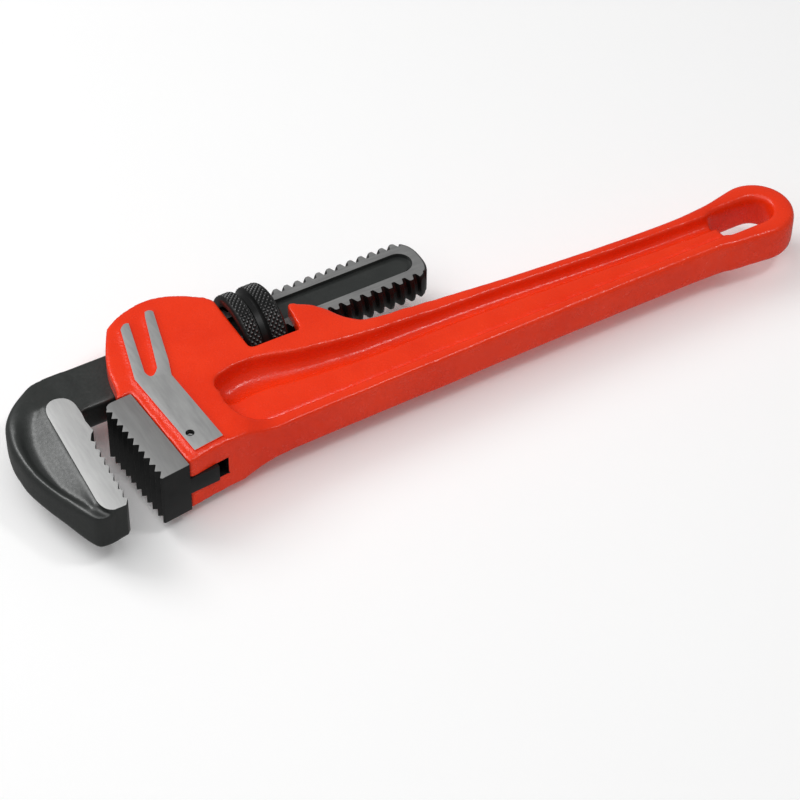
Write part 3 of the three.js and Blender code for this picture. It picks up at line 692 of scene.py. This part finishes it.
# The hanging slot through the thickness: height, and how much wider it is there.
MOUTHS = [
    (-CLEAR, 1.5),
    (-7.6, 1.5),
    (-6.9, 0.8),
    (-5.6, 0.2),
    (-3.5, 0),
    (3.5, 0),
    (5.6, 0.2),
    (6.9, 0.8),
    (7.6, 1.5),
    (CLEAR, 1.5),
]


def hanging_slot():
    """The cutter for the hanging slot in the round end: it flares at both mouths."""
    rows = []
    for height, grow in MOUTHS:
        low = END_Y - SLOT_HALF - grow
        high = END_Y + SLOT_HALF + grow
        start = EYE - 17.1 - grow / 3
        ring = [(start, low + 2), (start, high - 2)]
        ring += curve(ring[-1], (start, high), (start + 2, high))
        ring += arc((EYE - 0.5, END_Y), SLOT_HALF + grow, 90, -90, 20)
        ring.append((start + 2, low))
        ring += curve(ring[-1], (start, low), (start, low + 2))
        rows.append([at(x, y, height) for x, y in ring])
    return skin("hanging_slot", rows)


def casting_softness(x, y):
    """Crisp round the nut's window and the heel jaw's seat, softer on the head, softest on the handle."""
    if WINDOW_FRONT - 3 < x < HUMP + 3 and y > WINDOW_FLOOR - 3:
        return 0.1
    along, into = heel_across(x, y)
    if into < HEEL_BODY + 1.5 and along > -HEEL_HEAD - 2:
        return 0.1
    return 0.45 + 0.55 * step_up(x, -50, 10)


def casting_blank():
    """The outline, as thick as the head, the hump and the handle each are."""
    outline = casting_outline()
    body = plate("wrench_casting", outline, -HEAD_HALF, HEAD_HALF)
    middle = FOOT_Y + 11
    upper = thickness_bar(
        "upper_bar",
        [(-95, HEAD_HALF), (-50, HEAD_HALF), (HUMP, HUMP_HALF), (HUMP + 46, HANDLE_HALF)],
        middle - 0.5,
        84,
    )
    lower = thickness_bar(
        "lower_bar",
        [
            (-120, HEAD_HALF),
            (-77.6, HEAD_HALF),
            (-72, 10.9),
            (-66, 8.6),
            (-61, HANDLE_HALF),
            (10, HANDLE_HALF),
        ],
        -20,
        middle,
        0.6,
    )
    weld(upper, lower)
    combine(body, upper, "INTERSECT")
    start = HUMP + HANDLE_START
    handle = [(x, y + (TUCK if y < middle else -TUCK)) for x, y in outline if x > start]
    handle.append((start, FOOT_Y + TUCK))
    widths = [0.3 + 1.9 * step_up(x, start + 2, 60) for x, y in handle]
    weld(body, rolled_over("handle", handle, HANDLE_HALF - TUCK, widths))
    return body


def handle_recess(side):
    """One side's cutters: down to the panel, the groove, its bulb and the valley at the panel's foot."""
    panel = plate("panel", panel_outline(), *span(side, PANEL_HALF, CLEAR))
    low = FOOT_Y + 5.1
    high = low + PANEL_EDGE_WIDTH
    corners = [(-48, low), (EYE - 19, low), (EYE - 19, high), (-48, high)]
    edge = plate("panel_edge", corners, *span(side, PANEL_HALF - PANEL_EDGE_DEPTH, CLEAR))
    groove, bulb = rail_groove(side)
    return panel, groove, bulb, edge


def heel_slot_tool():
    """The slot for the heel jaw's tongue, with the bore for its pin."""
    back = HEEL_BODY + TONGUE_DEPTH + 4.5
    slot = plate(
        "heel_slot",
        [
            heel_at(TONGUE_TOP - 0.6, HEEL_BODY - 2),
            heel_at(TONGUE_TOP - 0.6, back),
            heel_at(HEEL_HEIGHT + 12, back),
            heel_at(HEEL_HEIGHT + 12, HEEL_BODY - 2),
        ],
        -TONGUE_HALF - GAP,
        TONGUE_HALF + GAP,
    )
    weld(slot, plate("pin_bore", arc(HEEL_PIN, 1.55, 0, 350, 35), -CLEAR, CLEAR))
    return slot


def casting_finish(centre, normal):
    """Paint, with bright pads and machined channel walls; the walls of the heel jaw's slot and of its pin
    bore take the heel jaw's dark oxide as painted shade.
    """
    x, y, z = centre
    if abs(z) > PAD_HALF - 0.03 and abs(normal.z) > 0.98:
        return PAD_STEEL
    if abs(z) < CHANNEL_HALF + 0.04 and x < WINDOW_FRONT + 0.3 and 38 < y < SHANK_Y + CREST + 1:
        return BARE
    along, into = heel_across(x, y)
    # Painted shade: the slot's walls and the pin bore are coloured as dark as the heel jaw's oxide.
    in_shaded_slot = abs(z) < TONGUE_HALF + GAP + 0.04 and along > TONGUE_TOP - 0.7
    if in_shaded_slot and HEEL_BODY + 0.5 < into < HEEL_BODY + TONGUE_DEPTH + 4.6:
        return HEEL_BLACK_AND_SLOT_SHADE
    in_shaded_bore = math.hypot(x - HEEL_PIN[0], y - HEEL_PIN[1]) < 1.6
    return HEEL_BLACK_AND_SLOT_SHADE if in_shaded_bore else RED


def casting():
    body = casting_blank()
    for side in (1, -1):
        weld(body, plate("pad_root", pad_outline(0.5), *span(side, 9, 12.15)))
    for side in (1, -1):
        cut(body, *handle_recess(side))
    cut(body, hanging_slot())
    cast(body, 0.65, 32, casting_softness)
    for side in (1, -1):
        pad = plate("ground_pad", pad_outline(0), *span(side, PAD_SEAT, PAD_HALF))
        ease(pad, 0.16, 2, 25)
        weld(body, pad)
    cut(body, gather(channel_tool(), heel_slot_tool()))
    shade(body, 40)
    face_materials(body, [RED, PAD_STEEL, BARE, HEEL_BLACK_AND_SLOT_SHADE], casting_finish)
    return body


def channel_tool():
    """Everything that is milled and drilled round the shank: channel, hump slot, spring rooms."""
    mouth_drop = LEAF_DROP + math.radians(ROCK_DEG) * (NUT_FRONT - CHANNEL_FRONT)
    back = SHANK_Y + CREST + 0.5
    tool = plate(
        "channel",
        [
            (CHANNEL_FRONT, LEAF_Y - mouth_drop),
            (WINDOW_FRONT + 1, LEAF_Y - LEAF_DROP),
            (WINDOW_FRONT + 1, back),
            (CHANNEL_FRONT, back),
        ],
        -CHANNEL_HALF,
        CHANNEL_HALF,
    )
    pin_y = LEAF_Y - 2.4
    weld(tool, block("eye_room", (-47.3, pin_y - 3.3, -CHANNEL_HALF), (-40.7, LEAF_Y, CHANNEL_HALF)))
    weld(tool, plate("spring_pin_bore", arc((-44, pin_y), 1.2, 0, 345, 23), -14, 8.5))
    bpy.ops.object.select_all(action="DESELECT")
    bpy.ops.mesh.primitive_cylinder_add(
        vertices=32,
        radius=4.7 * MM,
        depth=20.9 * MM,
        location=at(-60, SHANK_Y + 10.45),
        rotation=(math.pi / 2, 0, 0),
    )
    pocket = bpy.context.object
    bpy.ops.object.transform_apply(location=True, rotation=True, scale=False)
    weld(tool, pocket)
    slot_floor = SHANK_Y - CREST - 0.8
    hump_slot = block(
        "hump_slot", (WINDOW_REAR - 1, slot_floor, -CHANNEL_HALF), (TAIL, SHANK_Y + CREST, CHANNEL_HALF)
    )
    return gather(tool, hump_slot)


# ---- Heel jaw and its pin ----


def heel_jaw():
    outline = []
    for tooth in range(HEEL_TEETH):
        outline.append(heel_at(tooth * HEEL_PITCH, 0))
        outline.append(heel_at((tooth + 0.27) * HEEL_PITCH, HEEL_TOOTH * 0.94))
        outline.append(heel_at((tooth + 0.34) * HEEL_PITCH, HEEL_TOOTH))
    outline.append(heel_at(HEEL_HEIGHT, 0))
    outline += [heel_at(HEEL_HEIGHT + 0.6, 0.6), heel_at(HEEL_HEIGHT, HEEL_BODY)]
    outline += [heel_at(-HEEL_HEAD, HEEL_BODY), heel_at(-HEEL_HEAD, 3.6)]
    outline += curve(outline[-1], heel_at(-HEEL_HEAD + 0.3, 1.2), heel_at(-1.2, 0.9), 5)
    jaw = plate("toothed_heel_jaw", outline, -HEEL_HALF, HEEL_HALF)
    tongue = plate(
        "tongue",
        [
            heel_at(TONGUE_TOP, HEEL_BODY - 1),
            heel_at(TONGUE_TOP, HEEL_BODY + TONGUE_DEPTH),
            heel_at(HEEL_HEIGHT - 0.2, HEEL_BODY + TONGUE_DEPTH),
            heel_at(HEEL_HEIGHT - 0.2, HEEL_BODY - 1),
        ],
        -TONGUE_HALF,
        TONGUE_HALF,
    )
    weld(jaw, tongue)
    cut(jaw, plate("bore", arc(HEEL_PIN, 1.5, 0, 345, 23), -12, 12))
    ease(jaw, 0.14, 2)
    shade(jaw, 30)

    def finish(centre, normal):
        return HEEL_FACE if abs(normal.z) > 0.5 and abs(centre.z) > HEEL_HALF - 0.3 else HEEL_BLACK_AND_SLOT_SHADE

    face_materials(jaw, [HEEL_BLACK_AND_SLOT_SHADE, HEEL_FACE], finish)
    return jaw


def heel_pin():
    """A spring pin: sheet rolled into a tube that stays open along one side."""
    half = PAD_HALF - PIN_SINK
    outer = arc(HEEL_PIN, HEEL_PIN_RADIUS, 12, 348, 30)
    inner = arc(HEEL_PIN, HEEL_PIN_RADIUS - 0.5, 340, 20, 24)
    pin = plate("rolled_heel_pin", outer + inner, -half, half)
    ease(pin, 0.08, 2, 50)
    shade(pin, 40)
    one_material(pin, SPRING)
    return pin


# ---- Hook jaw: hook, neck and threaded shank ----


def hook_outline():
    """From the neck's back round the hook to its toe, and up its front to the throat."""
    line = [(NECK_ROOT, NECK_BACK - 0.2), (-104, NECK_BACK - 0.5)]
    toe_x, toe_y = HOOK_TOE
    line += spline(
        [
            line[-1],
            (-109.5, NECK_BACK - 1.6),
            (-114, NECK_BACK - 3.5),
            (-120.7, NECK_BACK - 8.5),
            (-125.6, NECK_BACK - 15.1),
            (-128.3, NECK_BACK - 24.5),
            (-128.8, SHANK_Y - 21.2),
            (-128.1, SHANK_Y - 30.1),
            (toe_x - 18.4, toe_y + 12.3),
            (toe_x - 13, toe_y - 0.4),
            (toe_x - 8.5, toe_y - 2.6),
        ],
        8,
    )
    line += [(toe_x - 1.2, toe_y - 2), hook_at(0, 2.2)]
    line += [(THROAT - 0.8, HOOK_TIP[1] + 8), (THROAT, NECK_FRONT - 4.5)]
    line += curve(line[-1], (THROAT, NECK_FRONT), (NECK_ROOT, NECK_FRONT), 8)
    return line


def hook_land_outline():
    """The ground land: its round ends, its back, and the row of teeth down its front."""
    toe_x, toe_y = HOOK_TOE
    line = [(toe_x, toe_y), (toe_x - 1.8, toe_y - 2.5), (toe_x - 5.9, toe_y - 2.5)]
    line += curve(line[-1], (toe_x - 9.2, toe_y - 1.5), (toe_x - 9.5, toe_y + 3.9), 8)
    line.append((THROAT - 10.7, HOOK_TIP[1] + 14.5))
    line += curve(line[-1], (THROAT - 10, HOOK_TIP[1] + 20.8), (THROAT - 5.5, HOOK_TIP[1] + 21), 8)
    line += curve(line[-1], (THROAT - 0.5, HOOK_TIP[1] + 20.6), (THROAT, HOOK_TIP[1] + 15), 8)
    line += [(THROAT, HOOK_TIP[1] + 10.5), (THROAT - 0.5, HOOK_TIP[1] + 6.5), hook_at(-1.2, -1.2)]
    for tooth in range(HOOK_TEETH):
        line.append(hook_at(tooth * HOOK_PITCH, 0))
        line.append(hook_at((tooth + 0.66) * HOOK_PITCH, HOOK_TOOTH))
        line.append(hook_at((tooth + 0.76) * HOOK_PITCH, HOOK_TOOTH * 0.95))
    return line


def thread_radius(turn):
    """The thread's section over one pitch: root, flank, crest, flank, each with its corners run over."""
    turn = turn % 1
    rise = step_up(turn, 0.22, 0.48) - step_up(turn, 0.74, 1)
    rise = rise * rise * (3 - 2 * rise)
    return CREST - THREAD_DEPTH * (1 - rise)


def threaded_shank():
    """A threaded rod that is cut down to the flat bar's section."""
    start = THREAD_START - PITCH
    turns = math.ceil((TAIL - THREAD_START) / PITCH) + 1
    per_pitch = 14
    sides = 72
    rows = []
    for row in range(turns * per_pitch + 1):
        ring = []
        for side in range(sides + 1):
            angle = 2 * math.pi * side / sides
            radius = thread_radius(row / per_pitch)
            x = start + row * PITCH / per_pitch + PITCH * side / sides
            ring.append(at(x, SHANK_Y + radius * math.cos(angle), radius * math.sin(angle)))
        rows.append(ring)
    rod = skin("threaded_rod", rows)
    low = SHANK_Y - CREST
    high = SHANK_Y + CREST
    flat = [(THREAD_START, low), (TAIL - TAIL_CORNER, low)]
    flat += curve(flat[-1], (TAIL, low), (TAIL, low + TAIL_CORNER), 12)
    flat.append((TAIL, high - TAIL_CORNER))
    flat += curve(flat[-1], (TAIL, high), (TAIL - TAIL_CORNER, high), 12)
    flat.append((THREAD_START, high))
    widths = [0.3 + step_up(corner[0], TAIL - 12, TAIL - 6) for corner in flat]
    combine(rod, rolled_over("flat_bar", flat, SHANK_HALF, widths), "INTERSECT")
    return rod


def shank_groove(side):
    """The recess along each face of the shank, with its floor raised down the middle."""
    end = TAIL - 4.2 - SHANK_GROOVE_HALF
    outline = [(THREAD_START + 2, SHANK_Y - SHANK_GROOVE_HALF), (end, SHANK_Y - SHANK_GROOVE_HALF)]
    outline += arc((end, SHANK_Y), SHANK_GROOVE_HALF, -85, 85, 18)
    outline += [(end, SHANK_Y + SHANK_GROOVE_HALF), (THREAD_START + 2, SHANK_Y + SHANK_GROOVE_HALF)]
    inner = SHANK_GROOVE_HALF - 1.5
    raised = [(THREAD_START, SHANK_Y - inner - 3), (end + 0.5, SHANK_Y - inner - 3)]
    raised += arc((end - 0.5, SHANK_Y - 0.6), inner, -80, 88, 14)
    raised += [(THREAD_START, SHANK_Y + inner)]
    floor = SHANK_HALF - SHANK_GROOVE_DEPTH
    tool = plate("groove", outline, *span(side, floor, SHANK_HALF + 2))
    cut(tool, plate("raised_floor", raised, *span(side, floor - 1, floor + 0.45)))
    return tool


# The hollow in the hook, from the toe up: y, x of the rim's inner edge, x of the land's foot, depth below
# the rim, and how far the slope to the land runs out.
HOLLOW_RUN = [
    (0.5, -118.4, -115.6, 0.2, 1.5),
    (4, -119.8, -115, 1.0, 3.2),
    (9, -122.2, -114.4, 2.1, 6.0),
    (17, -125.2, -113.9, 2.6, 8.0),
    (26, -126.8, -113.4, 2.8, 9.0),
    (35, -126.7, -112.9, 2.7, 9.0),
    (42, -125.2, -112.2, 2.2, 8.0),
    (47.5, -122.5, -111.4, 1.3, 6.5),
    (51.5, -119.2, -110.6, 0.3, 4.0),
]


def hook_hollow(side):
    """The cutter for the hollow between the hook's rim and its land, and the slope up to the land."""
    cutter = []
    slope = []
    for y, rim, land, depth, run in [HOLLOW_RUN[0]] + spline(HOLLOW_RUN, 3):
        bottom = HOOK_RIM - depth
        inner = min(rim + 3.2, (rim + land) / 2)
        section = [(rim, HOOK_RIM + 0.1), (inner, bottom), (land + 1, bottom)]
        section += [(land + 1, CLEAR), (rim, CLEAR)]
        section.append(section[0])
        cutter.append([at(x, y, side * z) for x, z in section])
        section = [(land + 4, 0), (land + 4, LAND_ROOT_HALF), (land - 0.2, LAND_ROOT_HALF)]
        section += [(land - run, bottom - 0.4), (land - run, 0)]
        section.append(section[0])
        slope.append([at(x, y, side * z) for x, z in section])
    return skin("hollow", cutter), skin("slope", slope)


def toe_relief():
    """The cutter that slopes the land off under the toe."""
    x = HOOK_TOE[0] - 14
    front = HOOK_TOE[1] - 5
    below = -9.6
    corners = [at(x, front, -4), at(x, front + 11, below), at(x, front, below)]
    return prism("toe_relief", corners, (18 * MM, 0, 0))


def hook_softness(x, y):
    """Crisp at the toe, soft everywhere else."""
    return 0.2 + 0.8 * step_up(y, HOOK_TOE[1] - 1, HOOK_TOE[1] + 6)


def hook_jaw():
    outline = hook_outline()
    widths = []
    for x, y in outline:
        outer = step_up(y, HOOK_TOE[1] - 1, HOOK_TOE[1] + 12) * step_up(-x, 104, 114)
        widths.append(0.6 + 2.9 * outer if x < THROAT - 8 else 0.6)
    forging = rolled_over("forged_hook_jaw", outline, HOOK_RIM, widths)
    thinning = [(-135, HOOK_RIM + 1), (-119, HOOK_RIM), (-112, 6.8), (-104, 5.6), (-90, SHANK_HALF)]
    combine(forging, thickness_bar("thinning", thinning, -20, 90), "INTERSECT")
    for side in (1, -1):
        hollow, slope = hook_hollow(side)
        cut(forging, hollow)
        weld(forging, slope)
    neck_foot = (NECK_ROOT - 9, NECK_FRONT, -SHANK_HALF)
    neck = block("neck", neck_foot, (THREAD_START + 1, NECK_BACK, SHANK_HALF))
    ease(neck, 0.8, 2, 60)
    root = plate("land_root", hook_land_outline(), -LAND_ROOT_HALF, LAND_ROOT_HALF)
    cut(root, toe_relief())
    weld(forging, neck, root)
    cast(forging, 0.5, 28, hook_softness)
    land = plate("land", hook_land_outline(), -HOOK_HALF, HOOK_HALF)
    cut(land, toe_relief())
    ease(land, 0.16, 2, 25)
    shank = threaded_shank()
    cut(shank, shank_groove(1), shank_groove(-1))
    weld(forging, land, shank)
    shade(forging, 35)

    def finish(centre, normal):
        x, y, z = centre
        if x < THROAT + 2:
            return HOOK_FACE if abs(z) > HOOK_HALF - 0.2 and abs(normal.z) > 0.5 else FORGED
        if x > THREAD_START - 0.1 and abs(z) > SHANK_HALF - 0.05 and abs(normal.z) > 0.9:
            return RIM_STEEL
        on_thread = x > THREAD_START and abs(y - SHANK_Y) > SHANK_GROOVE_HALF + 2
        return THREAD_BLACK if on_thread else FORGED

    face_materials(forging, [FORGED, HOOK_FACE, RIM_STEEL, THREAD_BLACK], finish)
    return forging


# ---- Nut ----


def knurl(angle, x):
    """The height of the diamond knurl, from 0 in its grooves to 1 on its points."""
    around = KNURL_COUNT * angle / (2 * math.pi)
    along = x / KNURL_LEAD
    first = abs(2 * ((around + along) % 1) - 1)
    second = abs(2 * ((around - along) % 1) - 1)
    return min(1.0, 1.25 * min(1 - first, 1 - second))


def nut_stations():
    """Places along the nut's section: x from its front face, radius, and how much of the knurl shows."""
    mid = NUT_LENGTH * 0.47
    full = NUT_RADIUS
    floor = full - 1.7
    places = [(0.9, NUT_BORE, 0), (0.0, NUT_BORE + 0.8, 0), (0.0, full - 1.5, 0)]
    places += [(0.12, full - 1.15, 0), (0.5, full - 0.62, 0), (0.95, full - 0.22, 0.15)]
    x = 1.2
    while x < mid - 2.35:
        places.append((x, full, min(1.0, (x - 0.9) / KNURL_FADE)))
        x += KNURL_ROW
    places += [(mid - 2.15, full - 0.1, 0.6), (mid - 1.95, full - 0.3, 0.1), (mid - 1.7, full - 0.8, 0)]
    places += [(mid - 1.4, full - 1.35, 0), (mid - 1.0, floor, 0), (mid + 1.0, floor, 0)]
    places += [(mid + 1.4, full - 1.35, 0), (mid + 1.7, full - 0.8, 0), (mid + 1.95, full - 0.3, 0.1)]
    x = mid + 2.2
    while x < NUT_LENGTH - 1.2:
        places.append((x, full, min(1.0, (NUT_LENGTH - 0.9 - x) / KNURL_FADE)))
        x += KNURL_ROW
    places += [(NUT_LENGTH - 0.95, full - 0.22, 0.15), (NUT_LENGTH - 0.5, full - 0.62, 0)]
    places += [(NUT_LENGTH - 0.12, full - 1.15, 0), (NUT_LENGTH, full - 1.5, 0)]
    places += [(NUT_LENGTH, NUT_BORE + 0.8, 0), (NUT_LENGTH - 0.9, NUT_BORE, 0)]
    places.append(places[0])
    return places


def nut():
    """The knurled nut, with a wear attribute that is 1 on the knurl's points and 0 in its grooves."""
    columns = KNURL_COUNT * 6
    rows = []
    for x, radius, share in nut_stations():
        ring = []
        for column in range(columns + 1):
            angle = 2 * math.pi * column / columns
            height = radius - KNURL_DEPTH * share * (1 - knurl(angle, x))
            ring.append(at(NUT_FRONT + x, SHANK_Y + height * math.cos(angle), height * math.sin(angle)))
        rows.append(ring)
    made = skin("knurled_nut", rows)
    wear = made.data.attributes.new("wear", "FLOAT", "POINT")
    heights = []
    for vertex in made.data.vertices:
        x, y, z = drawn(vertex.co)
        radius = math.hypot(y - SHANK_Y, z)
        heights.append(step_up(radius, NUT_RADIUS - KNURL_DEPTH, NUT_RADIUS))
    wear.data.foreach_set("value", heights)
    shade(made, 32)
    one_material(made, OXIDE)
    return made


# ---- Fitting the pieces to the frame ----


def fit(piece, body, slot, *nodes):
    """Says which body the piece rides and the CAD nodes it stands in for; its material slot is not used."""
    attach(piece, body)
    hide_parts(*nodes)


fit(casting(), "casting", "red_paint", "handle_casting")
fit(heel_jaw(), "casting", "heel_steel", "heel_jaw")
fit(heel_pin(), "casting", "spring_steel", "heel_jaw_pin")
fit(hook_jaw(), "hook", "black_forging", "hook_jaw")
fit(nut(), "nut", "black_nut", "adjusting_nut")

for name in ("leaf_spring", "leaf_spring_pin", "coil_spring"):
    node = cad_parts[name]
    node.data.materials.clear()
    node.data.materials.append(SPRING)

# ---- Floor, light and camera ----


def floor():
    """A pale table. It gives off a little light of its own and is left out of reflections."""
    bpy.ops.object.select_all(action="DESELECT")
    bpy.ops.mesh.primitive_plane_add(size=6, location=(0, 0, cad_low.z - 0.0002))
    table = bpy.context.object
    table.name = "pale_table"
    material, tree, shader = material_nodes("pale_table")
    tone = noise(tree, object_pattern(tree), 3, 3)
    tree.links.new(grey_ramp(tree, tone, 0.93, 0.94), shader.inputs["Base Color"])
    shader.inputs["Roughness"].default_value = 0.9
    shader.inputs["Specular IOR Level"].default_value = 0.1
    shader.inputs["Emission Color"].default_value = (1, 1, 1, 1)
    shader.inputs["Emission Strength"].default_value = 0.07
    table.data.materials.append(material)
    table.visible_glossy = False


def softbox(name, place, size, energy):
    """A square area light, in metres and watts, that faces the middle of the frame."""
    light = bpy.data.lights.new(name, "AREA")
    light.shape = "SQUARE"
    light.size = size
    light.energy = energy
    lamp = bpy.data.objects.new(name, light)
    lamp.location = place
    lamp.rotation_mode = "QUATERNION"
    lamp.rotation_quaternion = (Vector(place)).to_track_quat("Z", "Y")
    bpy.context.scene.collection.objects.link(lamp)


def studio():
    floor()
    softbox("overhead", (-0.45, -0.1, 1.2), 1.6, 10.0)
    softbox("back_left", (-0.55, 0.70, 0.86), 0.6, 5.5)
    softbox("front_top", (0.43, -0.38, 1.08), 0.2, 2.2)
    world = bpy.data.worlds.new("studio")
    world.use_nodes = True
    background = world.node_tree.nodes["Background"]
    background.inputs["Color"].default_value = (1, 1, 1, 1)
    background.inputs["Strength"].default_value = 0.22
    bpy.context.scene.world = world
    bpy.context.scene.view_settings.view_transform = "Standard"


def camera():
    """A long lens from in front of the jaws and above."""
    azimuth = math.radians(-30.765)
    elevation = math.radians(45.449)
    roll = math.radians(0.708)
    distance = 0.9682
    back = Vector(
        (
            math.sin(azimuth) * math.cos(elevation),
            -math.cos(azimuth) * math.cos(elevation),
            math.sin(elevation),
        )
    )
    right = Vector((math.cos(azimuth), math.sin(azimuth), 0))
    up = back.cross(right)
    turned_right = math.cos(roll) * right + math.sin(roll) * up
    turned_up = back.cross(turned_right)
    data = bpy.data.cameras.new("camera")
    data.lens = 126
    data.sensor_width = 36
    data.clip_start = 0.05
    data.clip_end = 20
    eye = bpy.data.objects.new("camera", data)
    eye.rotation_mode = "QUATERNION"
    turn = [[turned_right[i], turned_up[i], back[i]] for i in range(3)]
    eye.rotation_quaternion = Matrix(turn).to_quaternion()
    eye.location = ORIGIN + back * distance
    bpy.context.scene.collection.objects.link(eye)
    bpy.context.scene.camera = eye


studio()
camera()
